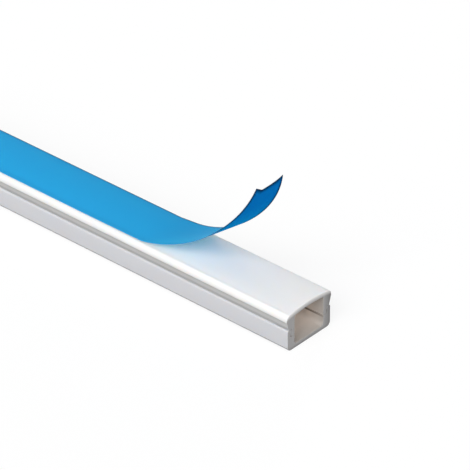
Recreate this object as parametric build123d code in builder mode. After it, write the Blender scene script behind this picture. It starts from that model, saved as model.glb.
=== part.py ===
"""Cord cover raceway: a base channel, a crowned clip-on cover and the film that protects the cover.

The length runs along X, the width along Y, and the flat back of the base lies on Z = 0 at the middle of
the length. The film is laid over the crown of the cover and is peeled back at the +X end.
"""
import os
from math import cos, radians, sin, sqrt

from build123d import *

# The stock as a whole
stock_length = 400.0
cover_width = 15.0
cover_overhang = 0.3
section_height = 10.2

# Base channel
wall_thickness = 1.0
floor_thickness = 1.0
seat_height = 5.5
base_corner_radius = 1.15
floor_corner_radius = 0.6
rim_radius = 0.4

# Snap bead along the inside of each base wall
bead_depth = 0.3
bead_lead = 0.35
bead_height = 1.2
bead_slope = 0.4

# Cover
crown_radius = 32.0
cover_thickness = 1.2
shoulder_radius = 1.3
shoulder_lean = 0.15
cover_inner_radius = 0.4
eave_height = 7.85
eave_drop = 0.08
eave_radius = 0.12
lip_inset = 0.08
lip_taper = 0.34
lip_low_height = 6.45
leg_thickness = 0.9
leg_foot_height = 3.65
leg_foot_width = 0.5
barb_flat = 0.4
snap_clearance = 0.1

# Protective film
film_width = 13.0
film_thickness = 0.15
bare_length = 46.0
curl_radius = 32.5
curl_angle = 57.0
curl_steps = 8
flatten_angle = 28.0
near_free_run = 14.0
far_free_run = 9.9

half_length = stock_length / 2
cover_half = cover_width / 2
base_half = cover_half - cover_overhang

wall_inner = base_half - wall_thickness
bead_face = wall_inner - bead_depth
bead_low = seat_height - bead_height

leg_outer = bead_face - snap_clearance
leg_inner = leg_outer - leg_thickness
barb_tip = wall_inner - snap_clearance
barb_drop = (barb_tip - leg_outer) * bead_slope / bead_depth
barb_low = bead_low - snap_clearance
barb_top = barb_low + barb_drop

crown_centre = section_height - crown_radius
shoulder_half = cover_half - shoulder_lean
lip_half = cover_half - lip_inset
inner_radius = crown_radius - cover_thickness
film_half = film_width / 2
film_sag = crown_radius - sqrt(crown_radius**2 - film_half**2)


def crown_height(across, radius):
    """Height of the crown arc of that radius at a distance from the middle of the width."""
    return crown_centre + sqrt(radius**2 - across**2)


with BuildPart() as base_channel:
    with BuildSketch(Plane.YZ) as base_section:
        with BuildLine():
            Polyline(
                (0, 0),
                (base_half, 0),
                (base_half, seat_height),
                (wall_inner, seat_height),
                (bead_face, seat_height - bead_lead),
                (bead_face, bead_low + bead_slope),
                (wall_inner, bead_low),
                (wall_inner, floor_thickness),
                (0, floor_thickness),
                close=True,
            )
        make_face()
        mirror(about=Plane.YZ)
        outer = base_section.vertices().filter_by(lambda v: abs(abs(v.X) - base_half) < snap_clearance)
        fillet(outer.group_by(Axis.Y)[0], base_corner_radius)
        outer = base_section.vertices().filter_by(lambda v: abs(abs(v.X) - base_half) < snap_clearance)
        fillet(outer.group_by(Axis.Y)[-1], rim_radius)
        inside = base_section.vertices().filter_by(lambda v: abs(abs(v.X) - wall_inner) < snap_clearance)
        fillet(inside.group_by(Axis.Y)[0], floor_corner_radius)
    extrude(amount=half_length, both=True)


with BuildPart() as cover:
    with BuildSketch(Plane.YZ) as cover_section:
        with BuildLine():
            crown_end = (shoulder_half, crown_height(shoulder_half, crown_radius))
            inner_end = (leg_inner, crown_height(leg_inner, inner_radius))
            RadiusArc((0, section_height), crown_end, crown_radius)
            Polyline(
                crown_end,
                (cover_half, eave_height),
                (lip_half, eave_height - eave_drop),
                (lip_half - lip_taper, lip_low_height),
                (base_half - rim_radius, seat_height),
                (leg_outer, seat_height),
                (leg_outer, barb_top),
                (barb_tip, barb_low),
                (barb_tip, barb_low - barb_flat),
                (leg_inner + leg_foot_width, leg_foot_height),
                (leg_inner, leg_foot_height),
                inner_end,
            )
            RadiusArc(inner_end, (0, section_height - cover_thickness), -inner_radius)
            Line((0, section_height - cover_thickness), (0, section_height))
        make_face()
        mirror(about=Plane.YZ)
        shoulder = cover_section.vertices().filter_by(lambda v: abs(v.X) > leg_outer)
        fillet(shoulder.group_by(Axis.Y)[-1], shoulder_radius)
        eave = cover_section.vertices().filter_by(lambda v: abs(v.X) > cover_half - lip_inset / 2)
        fillet(eave.group_by(Axis.Y)[0], eave_radius)
        under = cover_section.vertices().filter_by(lambda v: abs(abs(v.X) - leg_inner) < snap_clearance)
        fillet(under.group_by(Axis.Y)[-1], cover_inner_radius)
    extrude(amount=half_length, both=True)


def film_section(place, sag):
    """Face of the film on a plane square to it: a thin strip bowed down at both edges by the sag."""
    with BuildSketch(place) as section:
        with BuildLine():
            left = (-film_half, -sag)
            right = (film_half, -sag)
            left_top = (-film_half, film_thickness - sag)
            right_top = (film_half, film_thickness - sag)
            if sag > 0:
                ThreePointArc(left, (0, 0), right)
                ThreePointArc(left_top, (0, film_thickness), right_top)
            else:
                Line(left, right)
                Line(left_top, right_top)
            Line(left, left_top)
            Line(right, right_top)
        make_face()
    return section.sketch.face()


def curl_plane(turn, run):
    """Plane square to the film where it has turned up by an angle and then run straight."""
    along = Vector(cos(radians(turn)), 0, sin(radians(turn)))
    x = half_length - bare_length + curl_radius * sin(radians(turn))
    z = section_height + curl_radius * (1 - cos(radians(turn)))
    return Plane(origin=Vector(x, 0, z) + along * run, x_dir=(0, 1, 0), z_dir=along)


film_sections = []
for step in range(curl_steps + 1):
    turn_now = curl_angle * step / curl_steps
    bow_left = max(0, 1 - turn_now / flatten_angle)
    film_sections.append(film_section(curl_plane(turn_now, 0), film_sag * bow_left**2))

with BuildPart() as protective_film:
    extrude(film_sections[0], amount=bare_length - stock_length)
    loft(film_sections)
    extrude(film_sections[-1], amount=near_free_run)
    end = curl_plane(curl_angle, (near_free_run + far_free_run) / 2)
    slant = end.x_dir * film_width + end.z_dir * (far_free_run - near_free_run)
    split(bisect_by=Plane(origin=end.origin, x_dir=slant, z_dir=slant.cross(end.y_dir)), keep=Keep.BOTTOM)


base_channel.part.label = "base_channel"
cover.part.label = "cover"
protective_film.part.label = "protective_film"

os.makedirs("parts", exist_ok=True)
export_step(base_channel.part, "parts/base_channel.step")
export_step(cover.part, "parts/cover.step")
export_step(protective_film.part, "parts/protective_film.step")
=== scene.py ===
"""Looks of a cord cover raceway: the base channel, the crowned cover and the blue film peeled back from it.

The length runs along X, the width along Y and the back of the base lies on Z = 0. Sizes are in metres.
"""
import math

import bmesh
import bpy
from bpy.props import FloatProperty, FloatVectorProperty, IntProperty, PointerProperty
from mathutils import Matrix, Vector


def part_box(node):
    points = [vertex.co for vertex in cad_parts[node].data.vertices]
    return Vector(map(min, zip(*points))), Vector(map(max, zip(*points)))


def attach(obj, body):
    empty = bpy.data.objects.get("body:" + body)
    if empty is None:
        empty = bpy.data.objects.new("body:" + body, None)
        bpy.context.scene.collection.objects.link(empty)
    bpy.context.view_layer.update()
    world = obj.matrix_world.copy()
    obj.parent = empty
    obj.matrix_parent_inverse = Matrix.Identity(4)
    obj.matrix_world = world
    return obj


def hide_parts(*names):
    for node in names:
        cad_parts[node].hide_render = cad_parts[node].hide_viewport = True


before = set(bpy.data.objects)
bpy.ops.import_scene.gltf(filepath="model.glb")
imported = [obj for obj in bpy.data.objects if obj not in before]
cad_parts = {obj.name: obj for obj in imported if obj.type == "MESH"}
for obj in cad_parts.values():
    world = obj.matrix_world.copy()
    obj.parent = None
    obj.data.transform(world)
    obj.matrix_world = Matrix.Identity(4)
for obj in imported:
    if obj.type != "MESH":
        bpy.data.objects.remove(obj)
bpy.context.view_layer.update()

bl_info = {
    "name": "Cord cover raceway",
    "version": (1, 0, 0),
    "blender": (4, 5, 0),
    "location": "View3D > Sidebar > Raceway",
    "description": "Models a length of cord cover raceway with its film peeled back at one end",
    "category": "Object",
}

BASE_LOW, BASE_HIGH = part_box("base_channel")
TOUCH = 1e-6


def length(name, description, default):
    """A size of the raceway, in metres."""
    return FloatProperty(
        name=name, description=description, default=default, unit="LENGTH", precision=5, min=0
    )


def count(name, description, default):
    """A number of steps or rows in a piece's mesh."""
    return IntProperty(name=name, description=description, default=default, min=2)


def colour(name, description, default):
    """A colour of the raceway, as linear values."""
    return FloatVectorProperty(
        name=name, description=description, default=default, subtype="COLOR", min=0, max=1
    )


def tone(name, description, default):
    """How light a place looks, as a share of the colour round it."""
    return FloatProperty(
        name=name, description=description, default=default, subtype="FACTOR", min=0, max=1
    )


def angles(name, description, degrees, subtype="NONE"):
    """A set of angles, given in degrees."""
    return FloatVectorProperty(
        name=name, description=description, size=len(degrees), subtype=subtype, unit="ROTATION",
        default=[math.radians(a) for a in degrees],
    )


def light_width(name, description, degrees):
    """How wide a light looks from the object, given in degrees."""
    return FloatProperty(
        name=name, description=description, default=math.radians(degrees), unit="ROTATION", min=0
    )


def strength(name, description, default):
    """How strong a light is."""
    return FloatProperty(name=name, description=description, default=default, min=0)


class RacewayStockSizes(bpy.types.PropertyGroup):
    """Sizes that the base and the cover share."""

    stock_length: length("Stock length", "Length that the piece is sold in", BASE_HIGH.x - BASE_LOW.x)
    end_chamfer: length("End chamfer", "Width of the broken edge round a cut end", 0.00005)
    round_steps: count("Round steps", "Steps in each small round", 6)


class RacewayBaseSizes(bpy.types.PropertyGroup):
    """Sizes of the base channel."""

    half_width: length("Half width", "Middle of the base to the outside of its wall", BASE_HIGH.y)
    seat_height: length("Seat height", "Top of the walls, on which the cover sits", BASE_HIGH.z)
    wall: length("Wall", "Thickness of the side walls", 0.0010)
    floor: length("Floor", "Thickness of the floor", 0.0010)
    corner_round: length("Corner round", "Round along the back of the base", 0.00115)
    rim_round: length("Rim round", "Round along the top of the walls", 0.0004)
    floor_round: length("Floor round", "Round where the walls meet the floor inside", 0.0010)
    ledge: length("Ledge", "Thickness of the walls below the cover's legs", 0.0023)
    bead_depth: length("Bead depth", "How far the bead stands into the channel", 0.0003)
    bead_lead: length("Bead lead", "Height of the slope that guides the cover in", 0.00035)
    bead_height: length("Bead height", "Height of the bead below the seat", 0.0012)
    bead_slope: length("Bead slope", "Height of the slope under the bead", 0.0004)
    # Painted shade: the darker band along the bottom corner of the base and of its cut ends reaches this
    # height.
    bottom_shade_height: length("Dust height", "Height of the dusty band along the back", 0.0009)


class RacewayCoverSizes(bpy.types.PropertyGroup):
    """Sizes of the clip-on cover."""

    half_width: length("Half width", "Middle of the cover to its eave", 0.0075)
    height: length("Height", "Top of the crown above the back of the base", 0.0102)
    crown_radius: length("Crown radius", "Radius of the crowned top", 0.0320)
    skin: length("Skin", "Thickness of the crowned top", 0.0012)
    shoulder_lean: length("Shoulder lean", "How far the side leans in towards the shoulder", 0.00015)
    shoulder_round: length("Shoulder round", "Round between the crown and the side", 0.0013)
    eave_height: length("Eave height", "Height of the eave, the lowest edge of the side", 0.00785)
    eave_drop: length("Eave drop", "Slope of the face under the eave", 0.00008)
    eave_round: length("Eave round", "Round along the eave", 0.00012)
    lip_inset: length("Lip inset", "Eave to the lip under it", 0.00008)
    lip_taper: length("Lip taper", "How far the lip leans in", 0.00034)
    lip_low: length("Lip low edge", "Height where the lip turns in to the groove", 0.00645)
    leg: length("Leg", "Thickness of the legs that reach into the base", 0.0009)
    leg_foot: length("Leg foot", "Height of the feet of the legs", 0.00365)
    foot_width: length("Foot width", "Width of the flat foot of a leg", 0.0005)
    barb_flat: length("Barb flat", "Height of the tip of a barb", 0.0004)
    inner_round: length("Inner round", "Round where the legs meet the crown inside", 0.0004)
    clearance: length("Clearance", "Play between the cover and the base", 0.0001)
    # Height of the painted shadow line under the legs.
    shadow_depth: length("Shadow depth", "Height of the dark line under the legs", 0.0007)
    crown_steps: count("Crown steps", "Steps in half of the crown", 8)
    inner_steps: count("Inner steps", "Steps in half of the crown's inside", 6)
    shoulder_steps: count("Shoulder steps", "Steps in the round of a shoulder", 8)
    eave_steps: count("Eave steps", "Steps in the round of an eave", 4)


class RacewayFilmSizes(bpy.types.PropertyGroup):
    """Sizes of the film and of its curl."""

    half_width: length("Half width", "Half of the width of the film", 0.0068)
    off_middle: length("Off middle", "How far the film lies off the middle, towards the far side", 0.00035)
    thickness: length("Thickness", "Thickness of the film", 0.00010)
    cling: length("Cling", "Gap between the film and the crown", 0.00002)
    bare_length: length("Bare length", "Length of cover that the film has left", 0.04480)
    flatten_run: length("Flatten run", "Length over which the bow of the crown leaves the film", 0.0140)
    fold: length("Fold", "Length of film from one fold of the curl to the next", 0.0010)
    folds: count("Folds", "Folds in the curl", 50)
    turns: angles("Turns", "Turn of each fold at the start, middle and end of the curl", (2.4, 1.25, 3.7))
    skews: angles("Skews", "How far off square the folds start and end", (28.0, -48.0))
    end_short: length("End short", "How far the film's notch stops short of the stock's end", 0.00375)
    far_short: length("Far short", "How far the far edge stops short of the notch", 0.00133)
    corner_across: length("Corner width", "Width of the corner that is pulled out to a point", 0.00355)
    corner_reach: length("Corner reach", "How far the point of that corner reaches past the notch", 0.00238)
    # Painted shade: dark lines by the film's edges, this wide on the top and on the underside.
    top_line: length("Top line", "Width of the dark line by the edges of the top", 0.0005)
    under_line: length("Underside line", "Width of the dark line by the edges of the underside", 0.0014)
    # Painted shade: the light through the free end deepens over this length.
    shade_run: length("Shade run", "Length over which the light through the free film deepens", 0.035)
    rows_across: count("Rows across", "Steps across the film", 18)
    laid_rows: count("Laid rows", "Rows along the laid film", 18)


class RacewayColours(bpy.types.PropertyGroup):
    """Colours of the plastic, the film and the stage, and tones of the plastic's darker places."""

    # Painted shade: the base's colour is greyer than the cover's, standing in for the shade on its sides.
    base_plastic_shaded: colour("Base plastic", "White plastic of the base", (0.65, 0.652, 0.68))
    cover_plastic: colour("Cover plastic", "White plastic of the cover", (0.88, 0.872, 0.86))
    # Painted light: deep inside, the channel is paler and warmer than the cover's plastic, standing in for
    # light coming through its walls.
    inner_plastic_lit: colour("Inner plastic", "Warmer plastic inside the channel", (0.93, 0.83, 0.75))
    # Painted shade: the inside darkens towards the channel's mouth to this colour, which also tints the die
    # lines inside.
    mouth_shade: colour("Mouth plastic", "Dusty plastic at the channel's mouth", (0.50, 0.465, 0.43))
    # Painted shadow: the dark line under the cover's legs.
    shadow_line: colour("Shadow line", "Dirt under the legs of the cover", (0.12, 0.07, 0.04))
    # Painted shade: the cut ends are grey, standing in for the shade on them.
    sawn_plastic_shaded: colour("Sawn plastic", "The same plastic where it is cut", (0.40, 0.39, 0.39))
    # Painted light: the cut end is pale along the crown, standing in for light coming through the top.
    sawn_crown_light: colour("Sawn crown", "Cut plastic along the crown", (0.92, 0.90, 0.89))
    film_top: colour("Film top", "Blue film seen from above", (0.036, 0.485, 1.0))
    # Painted shade: the underside is a darker copy of the film's blue.
    film_under_shade: colour("Film underside", "Blue film seen from below", (0.001, 0.040, 0.33))
    film_through: colour("Film light", "Light that passes through the film", (0.20, 1.0, 1.0))
    # Painted shade: the light through the free end deepens to this colour, which also clouds the light
    # through the film.
    film_free_shade: colour("Free film light", "Light that passes through the free end", (0.075, 0.58, 0.80))
    # Painted shade: the dark colour of the film's edges and rim.
    film_edge_shade: colour("Film edge", "Cut edge of the film", (0.004, 0.040, 0.100))
    floor: colour("Floor", "Pale floor as the camera sees it", (0.95, 0.95, 0.95))
    floor_bounce: colour("Floor bounce", "Tone of the light that the floor sends back", (0.35, 0.35, 0.35))
    sky: colour("Sky", "Tone of the light from all round", (0.97, 0.99, 1.0))
    # Painted shade on the cover's lip and in the groove under its eave.
    lip_shade_tone: tone("Lip tone", "Tone of the lip under the eave", 0.64)
    groove_shade_tone: tone("Groove tone", "Tone of the groove under the lip", 0.49)
    # Painted shade along the bottom corner of the base, as a share of its colour.
    bottom_shade_tone: tone("Dust tone", "Tone of the dusty band along the back", 0.54)
    # Painted shade along the bottom and on the far side of a cut end.
    sawn_bottom_shade_tone: tone("Sawn dust tone", "Tone of the dusty band on a cut end", 0.56)
    sawn_far_shade_tone: tone("Sawn far tone", "Tone of a cut end's far side", 0.48)
    pit_tone: tone("Pit tone", "Tone of the pits in a cut end", 0.82)


class RacewayStage(bpy.types.PropertyGroup):
    """The camera, the floor and the lights."""

    camera_place: FloatVectorProperty(
        name="Camera place", description="Where the camera stands", subtype="TRANSLATION", unit="LENGTH",
        default=(0.57861, -0.44442, 0.40539),
    )
    camera_turn: angles("Camera turn", "How the camera is turned", (57.0733, 0.3251, 41.8143), "EULER")
    camera_lens: FloatProperty(
        name="Lens", description="Focal length in mm on a 36 mm sensor", default=245.1, min=1
    )
    key_turn: angles("Key turn", "How the key light is turned", (54.0, 0.0, 8.0), "EULER")
    key_strength: strength("Key strength", "Strength of the key light", 2.35)
    fill_turn: angles("Fill turn", "How the light on the cut end is turned", (60.0, 0.0, 80.0), "EULER")
    fill_strength: strength("Fill strength", "Strength of the light on the cut end", 1.2)
    back_turn: angles("Back turn", "How the low light on the back is turned", (-86.0, 0.0, 30.0), "EULER")
    back_strength: strength("Back strength", "Strength of the light on the back", 1.1)
    softness: light_width("Softness", "Width of the key and fill lights", 45.0)
    back_softness: light_width("Back softness", "Width of the back light", 8.0)
    ambient: strength("Ambient", "Strength of the light from all round", 0.28)
    floor_size: length("Floor size", "Width of the floor", 6.0)
    floor_gap: length("Floor gap", "Gap between the floor and the object", 0.00003)
    floor_glow: strength("Floor glow", "Strength of the white that the camera sees in the floor", 1.03)
    glow_share: tone("Glow share", "Share of that white in the floor, the rest keeps the shadow", 0.8)


def begin(name):
    """Adds a small plane at the origin and merges it to one point, which then draws an outline."""
    bpy.ops.object.select_all(action="DESELECT")
    bpy.ops.mesh.primitive_plane_add(size=0.001)
    piece = bpy.context.object
    piece.name = name
    piece.data.name = name
    bpy.ops.object.mode_set(mode="EDIT")
    bpy.ops.mesh.select_mode(type="VERT")
    bpy.ops.mesh.select_all(action="SELECT")
    bpy.ops.mesh.merge(type="CENTER")
    return piece


def pick(piece, kind, test):
    """Selects the points, edges or faces that pass the test."""
    bpy.ops.mesh.select_mode(type=kind)
    bpy.ops.mesh.select_all(action="DESELECT")
    mesh = bmesh.from_edit_mesh(piece.data)
    found = 0
    for part in {"VERT": mesh.verts, "EDGE": mesh.edges, "FACE": mesh.faces}[kind]:
        if test(part):
            part.select_set(True)
            found += 1
    bmesh.update_edit_mesh(piece.data)
    if not found:
        raise RuntimeError(f"{piece.name}: nothing to select")


def draw_lines(points):
    """Draws straight lines on the section from the selected point, which is the first of the points."""
    for (y0, z0), (y1, z1) in zip(points, points[1:]):
        bpy.ops.mesh.extrude_region_move(TRANSFORM_OT_translate={"value": (0, y1 - y0, z1 - z0)})


def pull_along(distance):
    """Pulls what is selected out along the length."""
    bpy.ops.mesh.extrude_region_move(TRANSFORM_OT_translate={"value": (distance, 0, 0)})


def draw_arc(x, centre_height, angle, steps):
    """Draws an arc on the section from the selected point, about a centre on the middle of the width."""
    bpy.ops.mesh.spin(steps=steps, angle=angle, center=(x, 0, centre_height), axis=(1, 0, 0))


def round_corner(piece, y, z, radius, steps):
    """Rounds a corner of the filled section to a radius."""
    pick(piece, "VERT", lambda v: abs(v.co.y - y) < TOUCH and abs(v.co.z - z) < TOUCH)
    corner = [v for v in bmesh.from_edit_mesh(piece.data).verts if v.select][0]
    sides = [(edge.other_vert(corner).co - corner.co).normalized() for edge in corner.link_edges]
    inside = sides[0].angle(sides[1])
    bpy.ops.mesh.bevel(
        offset=radius / math.tan(inside / 2), segments=steps, affect="VERTICES", profile=0.5,
        clamp_overlap=False,
    )


def fill_section(piece):
    """Fills the drawn outline with one face."""
    bpy.ops.mesh.select_all(action="SELECT")
    bpy.ops.mesh.remove_doubles(threshold=TOUCH)
    bpy.ops.mesh.edge_face_add()


def apply_modifier(piece, kind, **settings):
    """Adds a modifier to the piece and applies it."""
    if bpy.context.mode != "OBJECT":
        bpy.ops.object.mode_set(mode="OBJECT")
    modifier = piece.modifiers.new(kind.title(), kind)
    for name, value in settings.items():
        setattr(modifier, name, value)
    bpy.ops.object.modifier_apply(modifier=modifier.name)


def pull_stock(piece, stock):
    """Mirrors the half section, pulls it out to the stock's length and breaks the edges of both cut ends."""
    apply_modifier(
        piece, "MIRROR", use_axis=(False, True, False), use_mirror_merge=True, merge_threshold=TOUCH
    )
    bpy.ops.object.mode_set(mode="EDIT")
    bpy.ops.mesh.select_mode(type="FACE")
    bpy.ops.mesh.select_all(action="SELECT")
    pull_along(stock.stock_length)
    bpy.ops.mesh.select_all(action="SELECT")
    bpy.ops.mesh.normals_make_consistent(inside=False)
    half = stock.stock_length / 2
    pick(
        piece, "EDGE",
        lambda e: len(e.link_faces) == 2 and all(abs(f.normal.x) > 0.99 for f in e.link_faces),
    )
    bpy.ops.mesh.dissolve_edges(use_verts=False)
    pick(piece, "EDGE", lambda e: all(abs(abs(v.co.x) - half) < TOUCH for v in e.verts))
    bpy.ops.mesh.bevel(offset=stock.end_chamfer, segments=1, affect="EDGES", clamp_overlap=False)


def finish_stock(piece, plastic, inside):
    """Gives the piece its plastic, a warmer one with painted light and shade inside the channel, and the sawn
    look with painted light and shade on its cut ends.
    """
    scene = bpy.context.scene
    colours = scene.raceway_colours
    half = scene.raceway_stock.stock_length / 2
    chamfer = scene.raceway_stock.end_chamfer
    piece.data.materials.append(plastic)
    piece.data.materials.append(shared_material("Inner plastic", inner_plastic_lit, colours))
    piece.data.materials.append(shared_material("Sawn plastic", sawn_plastic_shaded, colours))
    pick(piece, "FACE", lambda f: abs(f.normal.x) < 0.5 and inside(f.calc_center_median(), f.normal))
    piece.active_material_index = 1
    bpy.ops.object.material_slot_assign()
    pick(
        piece, "FACE",
        lambda f: abs(f.normal.x) > 0.5 and abs(abs(f.calc_center_median().x) - half) < chamfer,
    )
    piece.active_material_index = 2
    bpy.ops.object.material_slot_assign()
    bpy.ops.object.mode_set(mode="OBJECT")
    bpy.ops.object.shade_smooth_by_angle(angle=math.radians(28))


class RACEWAY_OT_base(bpy.types.Operator):
    """Models the base channel with its rounded back, rims, snap beads and the ledges below them"""

    bl_idname = "raceway.base"
    bl_label = "Base channel"

    def execute(self, context):
        stock = context.scene.raceway_stock
        size = context.scene.raceway_base
        cover = context.scene.raceway_cover
        inner = size.half_width - size.wall
        ledge = size.half_width - size.ledge
        ledge_top = cover.leg_foot - cover.clearance
        bead = inner - size.bead_depth
        bead_low = size.seat_height - size.bead_height
        start = -stock.stock_length / 2
        piece = begin("raceway_base")
        bpy.ops.transform.translate(value=(start, 0, 0))
        draw_lines([
            (0, 0),
            (size.half_width, 0),
            (size.half_width, size.seat_height),
            (inner, size.seat_height),
            (bead, size.seat_height - size.bead_lead),
            (bead, bead_low + size.bead_slope),
            (inner, bead_low),
            (inner, ledge_top),
            (ledge, ledge_top),
            (ledge, size.floor),
            (0, size.floor),
        ])
        fill_section(piece)
        steps = stock.round_steps
        round_corner(piece, size.half_width, 0, size.corner_round, steps)
        round_corner(piece, size.half_width, size.seat_height, size.rim_round, steps)
        round_corner(piece, ledge, size.floor, size.floor_round, steps)
        pull_stock(piece, stock)
        colours = context.scene.raceway_colours
        # Painted shade along the bottom corner of the base.
        bottom_shade = (-size.floor, size.bottom_shade_height, colours.bottom_shade_tone)
        plastic = white_plastic("Base plastic", colours.base_plastic_shaded, 0.42, [bottom_shade])
        finish_stock(
            piece, plastic, lambda co, no: abs(co.y) < inner + TOUCH and co.z > size.floor - TOUCH
        )
        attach(piece, "root")
        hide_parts("base_channel")
        return {"FINISHED"}


class RACEWAY_OT_cover(bpy.types.Operator):
    """Models the cover with its crown, eaves, lips and barbed legs"""

    bl_idname = "raceway.cover"
    bl_label = "Cover"

    def execute(self, context):
        stock = context.scene.raceway_stock
        size = context.scene.raceway_cover
        base = context.scene.raceway_base
        start = -stock.stock_length / 2
        centre = size.height - size.crown_radius
        shoulder = size.half_width - size.shoulder_lean
        shoulder_turn = math.asin(shoulder / size.crown_radius)
        shoulder_height = centre + size.crown_radius * math.cos(shoulder_turn)
        lip = size.half_width - size.lip_inset
        inner = base.half_width - base.wall
        leg_out = inner - base.bead_depth - size.clearance
        leg_in = leg_out - size.leg
        barb = inner - size.clearance
        barb_low = base.seat_height - base.bead_height - size.clearance
        barb_top = barb_low + (barb - leg_out) * base.bead_slope / base.bead_depth
        inner_radius = size.crown_radius - size.skin
        inner_turn = math.asin(leg_in / inner_radius)
        inner_height = centre + inner_radius * math.cos(inner_turn)
        piece = begin("raceway_cover")
        bpy.ops.transform.translate(value=(start, 0, size.height))
        draw_arc(start, centre, shoulder_turn, size.crown_steps)
        draw_lines([
            (shoulder, shoulder_height),
            (size.half_width, size.eave_height),
            (lip, size.eave_height - size.eave_drop),
            (lip - size.lip_taper, size.lip_low),
            (base.half_width - base.rim_round, base.seat_height),
            (leg_out, base.seat_height),
            (leg_out, barb_top),
            (barb, barb_low),
            (barb, barb_low - size.barb_flat),
            (leg_in + size.foot_width, size.leg_foot),
            (leg_in, size.leg_foot),
            (leg_in, inner_height),
        ])
        draw_arc(start, centre, -inner_turn, size.inner_steps)
        fill_section(piece)
        round_corner(piece, shoulder, shoulder_height, size.shoulder_round, size.shoulder_steps)
        round_corner(piece, size.half_width, size.eave_height, size.eave_round, size.eave_steps)
        round_corner(piece, leg_in, inner_height, size.inner_round, stock.round_steps)
        pull_stock(piece, stock)
        colours = context.scene.raceway_colours
        # Painted shade on the lip and in the groove under the eave, where the eave shades them.
        lip_painted_shade = (0.0, size.eave_height, colours.lip_shade_tone)
        groove_painted_shade = (0.0, size.lip_low, colours.groove_shade_tone)
        plastic = white_plastic("Cover plastic", colours.cover_plastic, 0.30, [lip_painted_shade, groove_painted_shade])
        finish_stock(
            piece, plastic,
            lambda co, no: abs(co.y) < leg_in + TOUCH and (no.z < 0 or co.y * no.y < 0),
        )
        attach(piece, "root")
        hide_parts("cover")
        return {"FINISHED"}


class RACEWAY_OT_film(bpy.types.Operator):
    """Models the blue film laid on the crown and peeled back at one end"""

    bl_idname = "raceway.film"
    bl_label = "Protective film"

    def execute(self, context):
        half = context.scene.raceway_stock.stock_length / 2
        size = context.scene.raceway_film
        cover = context.scene.raceway_cover
        rest = cover.height + size.cling
        centre = cover.height - cover.crown_radius
        radius = cover.crown_radius + size.cling
        front = half - size.bare_length
        near = size.half_width - size.off_middle
        far = size.half_width + size.off_middle
        near_turn = math.asin(near / radius)
        piece = begin("raceway_film")
        bpy.ops.transform.translate(value=(-half, -near, centre + radius * math.cos(near_turn)))
        draw_arc(-half, centre, near_turn + math.asin(far / radius), size.rows_across)
        bpy.ops.mesh.select_all(action="SELECT")
        for _ in range(size.laid_rows):
            pull_along((front + half) / size.laid_rows)
        for step in range(size.folds):
            pull_along(size.fold)
            before = max(0.0, 1 - step * size.fold / size.flatten_run) ** 2
            after = max(0.0, 1 - (step + 1) * size.fold / size.flatten_run) ** 2
            if before:
                bpy.ops.transform.resize(
                    value=(1, 1, after / before), center_override=(front + (step + 1) * size.fold, 0, rest)
                )
        notch = half - size.end_short
        corner = size.corner_across - near
        near_slope = size.corner_reach / size.corner_across
        far_slope = size.far_short / (far - corner)
        cut_film(piece, (notch, corner, 0), near_slope, far_slope)
        flat = keep_flat_places(piece)
        for step in reversed(range(size.folds)):
            share = (step + 0.5) / size.folds
            place = (front + (step + 0.5) * size.fold, 0, rest)
            fold_film(piece, flat, place, value_along(size.turns, share), value_along(size.skews, share))
        bpy.ops.mesh.select_all(action="SELECT")
        bpy.ops.mesh.normals_make_consistent(inside=False)
        mesh = bmesh.from_edit_mesh(piece.data)
        if sum(f.normal.z * f.calc_area() for f in mesh.faces) < 0:
            bpy.ops.mesh.flip_normals()
        colours = context.scene.raceway_colours
        outline = {
            "Half_width": size.half_width, "Off_middle": size.off_middle, "Notch": notch, "Corner": corner,
            "Near_slope": near_slope, "Far_slope": far_slope, "Peel": front, "Free_run": size.shade_run,
        }
        # Painted shade by the edges; on the top and the rim the near edge is left clear.
        no_near_line = {"Edge_line": size.top_line, "Near_clear": size.half_width, **outline}
        both_lines = {"Edge_line": size.under_line, "Near_clear": 0.0, **outline}
        # The underside's darker blue is painted shade.
        finishes = (
            film_surface("Film top", colours, colours.film_top, no_near_line, gloss=0.05, passed=0.35),
            film_surface("Film underside", colours, colours.film_under_shade, both_lines, gloss=0.0, passed=0.60),
            film_rim(colours, no_near_line),
        )
        for finish in finishes:
            piece.data.materials.append(finish)
        apply_modifier(
            piece, "SOLIDIFY", thickness=size.thickness, offset=1.0, use_even_offset=True,
            material_offset=1, material_offset_rim=2,
        )
        bpy.ops.object.shade_smooth_by_angle(angle=math.radians(40))
        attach(piece, "root")
        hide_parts("protective_film")
        return {"FINISHED"}


def cut_film(piece, notch, near_slope, far_slope):
    """Cuts the flat film's end on two slants that meet at a notch, one on each side of it."""
    along, across, _ = notch
    pick(piece, "FACE", lambda f: True)
    bpy.ops.mesh.bisect(plane_co=notch, plane_no=(0, 1, 0), threshold=TOUCH)
    for side, slope in ((-1, near_slope), (1, far_slope)):
        slant = Vector((1, slope, 0)).normalized()
        pick(piece, "FACE", lambda f: all(side * (v.co.y - across) > -TOUCH for v in f.verts))
        bpy.ops.mesh.bisect(plane_co=notch, plane_no=slant, threshold=TOUCH)

    def over(co):
        slope = near_slope if co.y < across else far_slope
        return co.x - along + slope * (co.y - across)

    pick(piece, "FACE", lambda f: over(f.calc_center_median()) > 0)
    bpy.ops.mesh.delete(type="FACE")


def keep_flat_places(piece):
    """Keeps each point's place on the flat film, for the folds and for the film's finish."""
    bpy.ops.object.mode_set(mode="OBJECT")
    flat = piece.data.attributes.new("flat", "FLOAT_VECTOR", "POINT")
    for point, kept in zip(piece.data.vertices, flat.data):
        kept.vector = point.co
    places = [point.co.copy() for point in piece.data.vertices]
    bpy.ops.object.mode_set(mode="EDIT")
    return places


def value_along(values, share):
    """The value at a share of the way along evenly spaced values, straight between them."""
    spot = share * (len(values) - 1)
    low = min(int(spot), len(values) - 2)
    return values[low] + (values[low + 1] - values[low]) * (spot - low)


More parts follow.
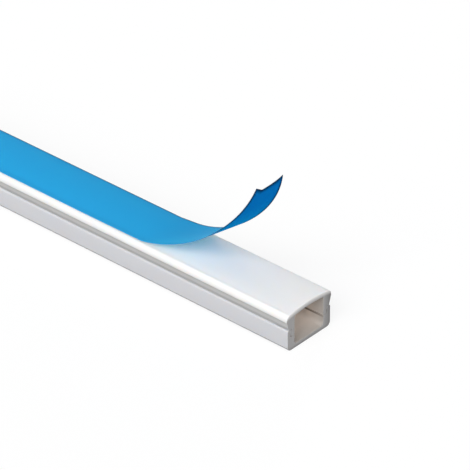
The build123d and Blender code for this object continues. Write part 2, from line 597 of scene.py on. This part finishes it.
def fold_film(piece, flat, centre, turn, skew):
    """Turns up the film beyond a fold line that crosses its middle at the centre, off square by the skew."""
    beyond = [(co.x - centre[0]) * math.cos(skew) - co.y * math.sin(skew) > 0 for co in flat]
    if any(beyond):
        pick(piece, "VERT", lambda v: beyond[v.index])
        bpy.ops.transform.rotate(value=-skew, orient_axis="Z", center_override=centre)
        bpy.ops.transform.rotate(value=turn, orient_axis="Y", center_override=centre)
        bpy.ops.transform.rotate(value=skew, orient_axis="Z", center_override=centre)


def add_node(tree, kind, **values):
    """Adds a node and sets its settings and plain inputs."""
    node = tree.nodes.new(kind)
    for name, value in values.items():
        if name in node.inputs:
            node.inputs[name].default_value = value
        else:
            setattr(node, name, value)
    return node


def feed(tree, value, socket):
    """Gives a socket its value, which is another socket, a number or a colour."""
    if hasattr(value, "links"):
        tree.links.new(value, socket)
    elif socket.type == "RGBA":
        socket.default_value = (*value, 1.0)
    else:
        socket.default_value = value


def math_node(tree, operation, *values):
    """Adds a maths node on sockets or plain numbers, and returns its result."""
    node = add_node(tree, "ShaderNodeMath", operation=operation)
    for value, socket in zip(values, node.inputs):
        feed(tree, value, socket)
    return node.outputs[0]


def new_group(name, inputs, outputs):
    """Starts a shader node group with named value inputs and outputs."""
    tree = bpy.data.node_groups.new(name, "ShaderNodeTree")
    for label, default in inputs:
        socket = tree.interface.new_socket(label, in_out="INPUT", socket_type="NodeSocketFloat")
        socket.default_value = default
    for label in outputs:
        tree.interface.new_socket(label, in_out="OUTPUT", socket_type="NodeSocketFloat")
    return tree, tree.nodes.new("NodeGroupInput"), tree.nodes.new("NodeGroupOutput")


def die_lines():
    """Group: fine lines that the extrusion die leaves along the length."""
    if "Die lines" in bpy.data.node_groups:
        return bpy.data.node_groups["Die lines"]
    tree, given, out = new_group("Die lines", [("Line width", 0.0003), ("Line length", 0.08)], ["Lines"])
    place = add_node(tree, "ShaderNodeTexCoord")
    scale = add_node(tree, "ShaderNodeCombineXYZ")
    tree.links.new(math_node(tree, "DIVIDE", 1.0, given.outputs["Line length"]), scale.inputs["X"])
    fine = math_node(tree, "DIVIDE", 1.0, given.outputs["Line width"])
    tree.links.new(fine, scale.inputs["Y"])
    tree.links.new(fine, scale.inputs["Z"])
    mapping = add_node(tree, "ShaderNodeMapping")
    tree.links.new(place.outputs["Object"], mapping.inputs["Vector"])
    tree.links.new(scale.outputs["Vector"], mapping.inputs["Scale"])
    noise = add_node(tree, "ShaderNodeTexNoise", Scale=1.0, Detail=3.0, Roughness=0.6)
    tree.links.new(mapping.outputs["Vector"], noise.inputs["Vector"])
    tree.links.new(noise.outputs["Fac"], out.inputs["Lines"])
    return tree


def handling_marks():
    """Group: faint patches where the stock has been handled and rubbed."""
    if "Handling marks" in bpy.data.node_groups:
        return bpy.data.node_groups["Handling marks"]
    tree, given, out = new_group("Handling marks", [("Patch size", 0.01), ("Share", 0.4)], ["Marks"])
    place = add_node(tree, "ShaderNodeTexCoord")
    noise = add_node(tree, "ShaderNodeTexNoise", Detail=5.0, Roughness=0.65)
    tree.links.new(place.outputs["Object"], noise.inputs["Vector"])
    tree.links.new(math_node(tree, "DIVIDE", 1.0, given.outputs["Patch size"]), noise.inputs["Scale"])
    marks = add_node(tree, "ShaderNodeMapRange")
    tree.links.new(noise.outputs["Fac"], marks.inputs["Value"])
    tree.links.new(math_node(tree, "SUBTRACT", 0.9, given.outputs["Share"]), marks.inputs["From Min"])
    marks.inputs["From Max"].default_value = 0.9
    tree.links.new(marks.outputs["Result"], out.inputs["Marks"])
    return tree


def stock_places():
    """Group: where a point lies: in a band of heights, near a cut end, on the far side, under the crown."""
    if "Stock places" in bpy.data.node_groups:
        return bpy.data.node_groups["Stock places"]
    given_values = [
        ("Band low", 0.0), ("Band high", 0.001), ("Band blur", 0.0001), ("Half length", 0.2),
        ("Mouth depth", 0.004), ("Far side", 0.006), ("Far blur", 0.0008), ("Crown height", 0.01),
        ("Crown radius", 0.03), ("Skin", 0.001),
    ]
    tree, given, out = new_group("Stock places", given_values, ["Band", "Depth", "Far", "Under crown"])
    value = given.outputs
    place = add_node(tree, "ShaderNodeTexCoord")
    part = add_node(tree, "ShaderNodeSeparateXYZ")
    tree.links.new(place.outputs["Object"], part.inputs["Vector"])
    over = ramp(tree, math_node(tree, "SUBTRACT", part.outputs["Z"], value["Band low"]), value["Band blur"])
    below = ramp(tree, math_node(tree, "SUBTRACT", value["Band high"], part.outputs["Z"]), value["Band blur"])
    tree.links.new(math_node(tree, "MULTIPLY", over, below), out.inputs["Band"])
    from_middle = math_node(tree, "ABSOLUTE", part.outputs["X"])
    from_end = math_node(tree, "SUBTRACT", value["Half length"], from_middle)
    tree.links.new(ramp(tree, from_end, value["Mouth depth"]), out.inputs["Depth"])
    beyond = math_node(tree, "SUBTRACT", part.outputs["Y"], value["Far side"])
    tree.links.new(ramp(tree, beyond, value["Far blur"]), out.inputs["Far"])
    sag = math_node(tree, "DIVIDE", math_node(tree, "POWER", part.outputs["Y"], 2.0), value["Crown radius"])
    crown = math_node(tree, "SUBTRACT", value["Crown height"], math_node(tree, "MULTIPLY", sag, 0.5))
    under = math_node(tree, "SUBTRACT", crown, part.outputs["Z"])
    tree.links.new(ramp(tree, under, value["Skin"]), out.inputs["Under crown"])
    return tree


def ramp(tree, value, width):
    """Rises from 0 to 1 as the value goes from 0 to the width."""
    node = add_node(tree, "ShaderNodeMapRange")
    tree.links.new(value, node.inputs["Value"])
    tree.links.new(width, node.inputs["From Max"])
    return node.outputs["Result"]


def use_group(tree, group, **values):
    """Places a node group in a material with its own values."""
    node = add_node(tree, "ShaderNodeGroup", node_tree=group)
    for name, value in values.items():
        node.inputs[name.replace("_", " ")].default_value = value
    return node


def new_material(name):
    """Starts a material with a Principled shader on its output."""
    material = bpy.data.materials.new(name)
    material.use_nodes = True
    tree = material.node_tree
    tree.nodes.clear()
    shader = add_node(tree, "ShaderNodeBsdfPrincipled")
    output = add_node(tree, "ShaderNodeOutputMaterial")
    tree.links.new(shader.outputs["BSDF"], output.inputs["Surface"])
    return material, tree, shader


def shared_material(name, make, *values):
    """A material that several pieces share, made when the first of them asks for it."""
    return bpy.data.materials.get(name) or make(*values)


def tint(tree, amount, plain, other):
    """Mixes two colours, which are plain values or sockets, by an amount."""
    mix = add_node(tree, "ShaderNodeMix", data_type="RGBA")
    tree.links.new(amount, mix.inputs["Factor"])
    first, second = [s for s in mix.inputs if s.type == "RGBA"]
    feed(tree, plain, first)
    feed(tree, other, second)
    return [s for s in mix.outputs if s.type == "RGBA"][0]


def show_blend(tree, share, first, second):
    """Shows a blend of two shaders, with that share of the second, on the material or world."""
    mix = add_node(tree, "ShaderNodeMixShader")
    feed(tree, share, mix.inputs["Fac"])
    tree.links.new(first, mix.inputs[1])
    tree.links.new(second, mix.inputs[2])
    output = [node for node in tree.nodes if "Surface" in node.inputs][0]
    tree.links.new(mix.outputs["Shader"], output.inputs["Surface"])


def spread(tree, value, low, high):
    """Spreads a 0 to 1 value between two numbers."""
    node = add_node(tree, "ShaderNodeMapRange")
    tree.links.new(value, node.inputs["Value"])
    node.inputs["To Min"].default_value = low
    node.inputs["To Max"].default_value = high
    return node.outputs["Result"]


def bump(tree, shader, height, strength, distance):
    """Feeds a height to the shader's normal."""
    node = add_node(tree, "ShaderNodeBump", Strength=strength, Distance=distance)
    tree.links.new(height, node.inputs["Height"])
    tree.links.new(node.outputs["Normal"], shader.inputs["Normal"])


def shade_of(shade, share):
    """The same colour, darker or lighter by a share."""
    return tuple(min(1.0, c * share) for c in shade)


def white_plastic(name, shade, roughness, bands=()):
    """White extruded plastic with die lines along it, faint handling marks and painted shade in bands of
    height.
    """
    material, tree, shader = new_material(name)
    lines = use_group(tree, die_lines(), Line_width=0.0003, Line_length=0.09).outputs["Lines"]
    marks = use_group(tree, handling_marks(), Patch_size=0.012, Share=0.35).outputs["Marks"]
    toned = tint(tree, math_node(tree, "MULTIPLY", lines, 0.5), shade, shade_of(shade, 0.95))
    toned = tint(tree, math_node(tree, "MULTIPLY", marks, 0.25), toned, shade_of(shade, 0.90))
    # Each band paints shade on the plastic between two heights.
    for low, high, share in bands:
        band = use_group(tree, stock_places(), Band_low=low, Band_high=high).outputs["Band"]
        toned = tint(tree, band, toned, shade_of(shade, share))
    tree.links.new(toned, shader.inputs["Base Color"])
    line_wear = math_node(tree, "MULTIPLY", lines, 0.10)
    mark_wear = math_node(tree, "MULTIPLY", marks, 0.12)
    wear = math_node(tree, "ADD", line_wear, mark_wear)
    tree.links.new(math_node(tree, "ADD", wear, roughness - 0.05), shader.inputs["Roughness"])
    bump(tree, shader, lines, 0.12, 0.00002)
    shader.inputs["IOR"].default_value = 1.49
    let_light_in(shader)
    return material


def let_light_in(shader):
    """Lets light spread a little way inside the plastic, the red light furthest."""
    shader.inputs["Subsurface Weight"].default_value = 0.6
    shader.inputs["Subsurface Radius"].default_value = (1.0, 0.8, 0.65)
    shader.inputs["Subsurface Scale"].default_value = 0.0015


def inner_plastic_lit(colours):
    """Duller plastic inside the channel, with painted shade towards its mouth, painted light deep inside and
    a painted shadow line under the cover's legs.
    """
    material, tree, shader = new_material("Inner plastic")
    cover = bpy.context.scene.raceway_cover
    places = use_group(
        tree, stock_places(), Band_low=cover.leg_foot - cover.shadow_depth, Band_high=cover.leg_foot,
        Band_blur=0.0003, Half_length=bpy.context.scene.raceway_stock.stock_length / 2,
    )
    lines = use_group(tree, die_lines(), Line_width=0.0004, Line_length=0.05).outputs["Lines"]
    # Painted shade towards the mouth, painted light deep inside.
    toned = tint(tree, places.outputs["Depth"], colours.mouth_shade, colours.inner_plastic_lit)
    # Painted shadow: a dark line under the legs, fading out towards the mouth.
    fade = math_node(tree, "POWER", places.outputs["Depth"], 0.35)
    line = math_node(tree, "MULTIPLY", places.outputs["Band"], fade)
    toned = tint(tree, line, toned, colours.shadow_line)
    worn = tint(tree, math_node(tree, "MULTIPLY", lines, 0.3), toned, colours.mouth_shade)
    tree.links.new(worn, shader.inputs["Base Color"])
    tree.links.new(spread(tree, lines, 0.50, 0.62), shader.inputs["Roughness"])
    bump(tree, shader, lines, 0.12, 0.00002)
    shader.inputs["Specular IOR Level"].default_value = 0.15
    return material


def sawn_plastic_shaded(colours):
    """The same plastic where it is cut: dull and grey as painted shade, pale along the crown as painted
    light, darker on the far side and along the bottom as painted shade, with fine saw lines and small pits.
    """
    material, tree, shader = new_material("Sawn plastic")
    shade = colours.sawn_plastic_shaded
    base = bpy.context.scene.raceway_base
    cover = bpy.context.scene.raceway_cover
    places = use_group(
        tree, stock_places(), Band_low=-base.floor, Band_high=base.bottom_shade_height, Band_blur=0.0008,
        Far_side=base.half_width - base.ledge, Far_blur=base.ledge, Crown_height=cover.height,
        Crown_radius=cover.crown_radius, Skin=cover.skin,
    ).outputs
    place = add_node(tree, "ShaderNodeTexCoord")
    mapping = add_node(tree, "ShaderNodeMapping", Rotation=(math.radians(24), 0, 0), Scale=(300, 7000, 500))
    tree.links.new(place.outputs["Object"], mapping.inputs["Vector"])
    saw = add_node(tree, "ShaderNodeTexNoise", Scale=1.0, Detail=4.0, Roughness=0.7)
    tree.links.new(mapping.outputs["Vector"], saw.inputs["Vector"])
    pits = add_node(tree, "ShaderNodeTexNoise", Scale=5200.0, Detail=2.0)
    tree.links.new(place.outputs["Object"], pits.inputs["Vector"])
    rough = math_node(tree, "MULTIPLY", saw.outputs["Fac"], pits.outputs["Fac"])
    toned = tint(tree, rough, shade, shade_of(shade, colours.pit_tone))
    # Painted shade on the far side and along the bottom, then painted light along the crown.
    toned = tint(tree, places["Far"], toned, shade_of(shade, colours.sawn_far_shade_tone))
    toned = tint(tree, places["Band"], toned, shade_of(shade, colours.sawn_bottom_shade_tone))
    toned = tint(tree, places["Under crown"], colours.sawn_crown_light, toned)
    tree.links.new(toned, shader.inputs["Base Color"])
    tree.links.new(spread(tree, saw.outputs["Fac"], 0.55, 0.80), shader.inputs["Roughness"])
    bump(tree, shader, math_node(tree, "ADD", saw.outputs["Fac"], rough), 0.35, 0.00004)
    return material


def film_ripple():
    """Group: ripples, clouds, an edge line and the free length of the film, from places on the flat film."""
    if "Film ripple" in bpy.data.node_groups:
        return bpy.data.node_groups["Film ripple"]
    given_values = [
        ("Half width", 0.007), ("Off middle", 0.0), ("Notch", 0.2), ("Corner", 0.0), ("Near slope", 0.0),
        ("Far slope", 0.0), ("Edge line", 0.0005), ("Near clear", 0.0), ("Peel", 0.15), ("Free run", 0.03),
    ]
    tree, given, out = new_group("Film ripple", given_values, ["Ripple", "Clouds", "Edge", "Free"])
    value = given.outputs
    flat = add_node(tree, "ShaderNodeAttribute", attribute_name="flat")
    stretched = add_node(tree, "ShaderNodeMapping", Scale=(60, 700, 1))
    tree.links.new(flat.outputs["Vector"], stretched.inputs["Vector"])
    ripple = add_node(tree, "ShaderNodeTexNoise", Scale=1.0, Detail=3.0)
    tree.links.new(stretched.outputs["Vector"], ripple.inputs["Vector"])
    clouds = add_node(tree, "ShaderNodeTexNoise", Scale=45.0, Detail=4.0)
    tree.links.new(flat.outputs["Vector"], clouds.inputs["Vector"])
    part = add_node(tree, "ShaderNodeSeparateXYZ")
    tree.links.new(flat.outputs["Vector"], part.inputs["Vector"])
    across = math_node(tree, "SUBTRACT", part.outputs["Y"], value["Off middle"])
    from_far = math_node(tree, "SUBTRACT", value["Half width"], across)
    from_near = math_node(tree, "ADD", value["Half width"], across)
    clear_of_near = math_node(tree, "ADD", from_near, value["Near clear"])
    from_side = math_node(tree, "MINIMUM", from_far, clear_of_near)
    nearer = math_node(tree, "SUBTRACT", value["Corner"], part.outputs["Y"])
    near_end = math_node(tree, "MULTIPLY", nearer, value["Near slope"])
    far_end = math_node(tree, "MULTIPLY", nearer, value["Far slope"])
    end = math_node(tree, "ADD", value["Notch"], math_node(tree, "MAXIMUM", near_end, far_end))
    from_end = math_node(tree, "SUBTRACT", end, part.outputs["X"])
    away = ramp(tree, math_node(tree, "MINIMUM", from_side, from_end), value["Edge line"])
    free = ramp(tree, math_node(tree, "SUBTRACT", part.outputs["X"], value["Peel"]), value["Free run"])
    tree.links.new(ripple.outputs["Fac"], out.inputs["Ripple"])
    tree.links.new(clouds.outputs["Fac"], out.inputs["Clouds"])
    tree.links.new(math_node(tree, "SUBTRACT", 1.0, away), out.inputs["Edge"])
    tree.links.new(free, out.inputs["Free"])
    return tree


def film_surface(name, colours, shade, outline, gloss, passed):
    """Thin blue film with soft ripples, a painted shade line by its edges, and a share of light passed
    through, deepened along the free end as painted shade.
    """
    material, tree, shader = new_material(name)
    looks = use_group(tree, film_ripple(), **outline).outputs
    # Painted shade: a dark line by the film's edges.
    edge_share = math_node(tree, "MULTIPLY", looks["Edge"], 0.9)
    toned = tint(tree, looks["Clouds"], shade_of(shade, 0.95), shade_of(shade, 1.05))
    tree.links.new(tint(tree, edge_share, toned, colours.film_edge_shade), shader.inputs["Base Color"])
    tree.links.new(spread(tree, looks["Ripple"], 0.40, 0.55), shader.inputs["Roughness"])
    shader.inputs["Specular IOR Level"].default_value = gloss
    bump(tree, shader, looks["Ripple"], 0.25, 0.00008)
    glow = add_node(tree, "ShaderNodeBsdfTranslucent")
    # Painted shade: the light through the film deepens along the free end.
    light = tint(tree, looks["Free"], colours.film_through, colours.film_free_shade)
    light = tint(tree, math_node(tree, "MULTIPLY", looks["Clouds"], 0.3), light, colours.film_free_shade)
    tree.links.new(tint(tree, edge_share, light, colours.film_edge_shade), glow.inputs["Color"])
    show_blend(tree, passed, shader.outputs["BSDF"], glow.outputs["BSDF"])
    return material


def film_rim(colours, outline):
    """Cut edge of the film, with painted shade where free or on the far side, as pale as the top on the near
    side.
    """
    material, tree, shader = new_material("Film edge")
    looks = use_group(tree, film_ripple(), **outline).outputs
    dark = tint(tree, looks["Ripple"], shade_of(colours.film_edge_shade, 0.8), shade_of(colours.film_edge_shade, 1.2))
    darkness = math_node(tree, "MAXIMUM", looks["Edge"], looks["Free"])
    tree.links.new(tint(tree, darkness, colours.film_top, dark), shader.inputs["Base Color"])
    shader.inputs["Roughness"].default_value = 0.45
    return material


class RACEWAY_OT_stage(bpy.types.Operator):
    """Sets up the pale floor, the soft light and the camera"""

    bl_idname = "raceway.stage"
    bl_label = "Stage"

    def execute(self, context):
        scene = context.scene
        stage = scene.raceway_stage
        bpy.ops.object.select_all(action="DESELECT")
        bpy.ops.mesh.primitive_plane_add(size=stage.floor_size, location=(0, 0, -stage.floor_gap))
        floor = context.object
        floor.name = "floor"
        floor.data.materials.append(floor_paint(scene.raceway_colours, stage))
        lights = (
            ("key_light", stage.key_turn, stage.key_strength, stage.softness, True),
            ("fill_light", stage.fill_turn, stage.fill_strength, stage.softness, True),
            ("back_light", stage.back_turn, stage.back_strength, stage.back_softness, False),
        )
        for name, turn, strength, width, shows_in_gloss in lights:
            bpy.ops.object.light_add(type="SUN", rotation=turn)
            light = context.object
            light.name = name
            light.data.energy = strength
            light.data.angle = width
            light.visible_glossy = shows_in_gloss
        bpy.ops.object.camera_add(location=stage.camera_place, rotation=stage.camera_turn)
        camera = context.object
        camera.name = "camera"
        camera.data.sensor_width = 36.0
        camera.data.lens = stage.camera_lens
        camera.data.clip_start = 0.01
        camera.data.clip_end = 20.0
        scene.camera = camera
        scene.view_settings.view_transform = "Standard"
        scene.world = world_light(scene.raceway_colours, stage)
        return {"FINISHED"}


def seen_directly(tree):
    """1 for what the camera sees, also by way of gloss or glass."""
    path = add_node(tree, "ShaderNodeLightPath")
    seen = math_node(tree, "MAXIMUM", path.outputs["Is Camera Ray"], path.outputs["Is Glossy Ray"])
    return math_node(tree, "MAXIMUM", seen, path.outputs["Is Transmission Ray"])


def floor_paint(colours, stage):
    """Pale floor that the camera sees as near white, with the object's soft shadow on it."""
    material, tree, shader = new_material("Floor paint")
    seen = seen_directly(tree)
    tree.links.new(tint(tree, seen, colours.floor_bounce, colours.floor), shader.inputs["Base Color"])
    shader.inputs["Roughness"].default_value = 0.9
    shader.inputs["Specular IOR Level"].default_value = 0.0
    glow = add_node(tree, "ShaderNodeEmission", Color=(1, 1, 1, 1), Strength=stage.floor_glow)
    glow_share = math_node(tree, "MULTIPLY", seen, stage.glow_share)
    show_blend(tree, glow_share, shader.outputs["BSDF"], glow.outputs["Emission"])
    return material


def world_light(colours, stage):
    """White behind the object, and an even light of its own strength on it."""
    world = bpy.data.worlds.new("Studio")
    world.use_nodes = True
    tree = world.node_tree
    tree.nodes.clear()
    white = add_node(tree, "ShaderNodeBackground", Color=(1, 1, 1, 1), Strength=1.0)
    soft = add_node(tree, "ShaderNodeBackground", Color=(*colours.sky, 1), Strength=stage.ambient)
    add_node(tree, "ShaderNodeOutputWorld")
    show_blend(tree, seen_directly(tree), soft.outputs["Background"], white.outputs["Background"])
    return world


class RACEWAY_PT_panel(bpy.types.Panel):
    """Lists the raceway's pieces and their sizes"""

    bl_idname = "RACEWAY_PT_panel"
    bl_label = "Cord cover raceway"
    bl_space_type = "VIEW_3D"
    bl_region_type = "UI"
    bl_category = "Raceway"

    def draw(self, context):
        for operator in (RACEWAY_OT_base, RACEWAY_OT_cover, RACEWAY_OT_film, RACEWAY_OT_stage):
            self.layout.operator(operator.bl_idname)
        for group in SETTINGS:
            box = self.layout.box()
            for name in getattr(context.scene, group).__annotations__:
                box.prop(getattr(context.scene, group), name)


SETTINGS = {
    "raceway_stock": RacewayStockSizes,
    "raceway_base": RacewayBaseSizes,
    "raceway_cover": RacewayCoverSizes,
    "raceway_film": RacewayFilmSizes,
    "raceway_colours": RacewayColours,
    "raceway_stage": RacewayStage,
}
TOOLS = (RACEWAY_OT_base, RACEWAY_OT_cover, RACEWAY_OT_film, RACEWAY_OT_stage, RACEWAY_PT_panel)


def register():
    for cls in (*SETTINGS.values(), *TOOLS):
        bpy.utils.register_class(cls)
    for name, group in SETTINGS.items():
        setattr(bpy.types.Scene, name, PointerProperty(type=group))


def unregister():
    for name in SETTINGS:
        delattr(bpy.types.Scene, name)
    for cls in reversed((*SETTINGS.values(), *TOOLS)):
        bpy.utils.unregister_class(cls)


def main():
    """Registers the tools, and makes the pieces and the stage."""
    register()
    bpy.ops.raceway.base()
    bpy.ops.raceway.cover()
    bpy.ops.raceway.film()
    bpy.ops.raceway.stage()


if __name__ == "__main__":
    main()
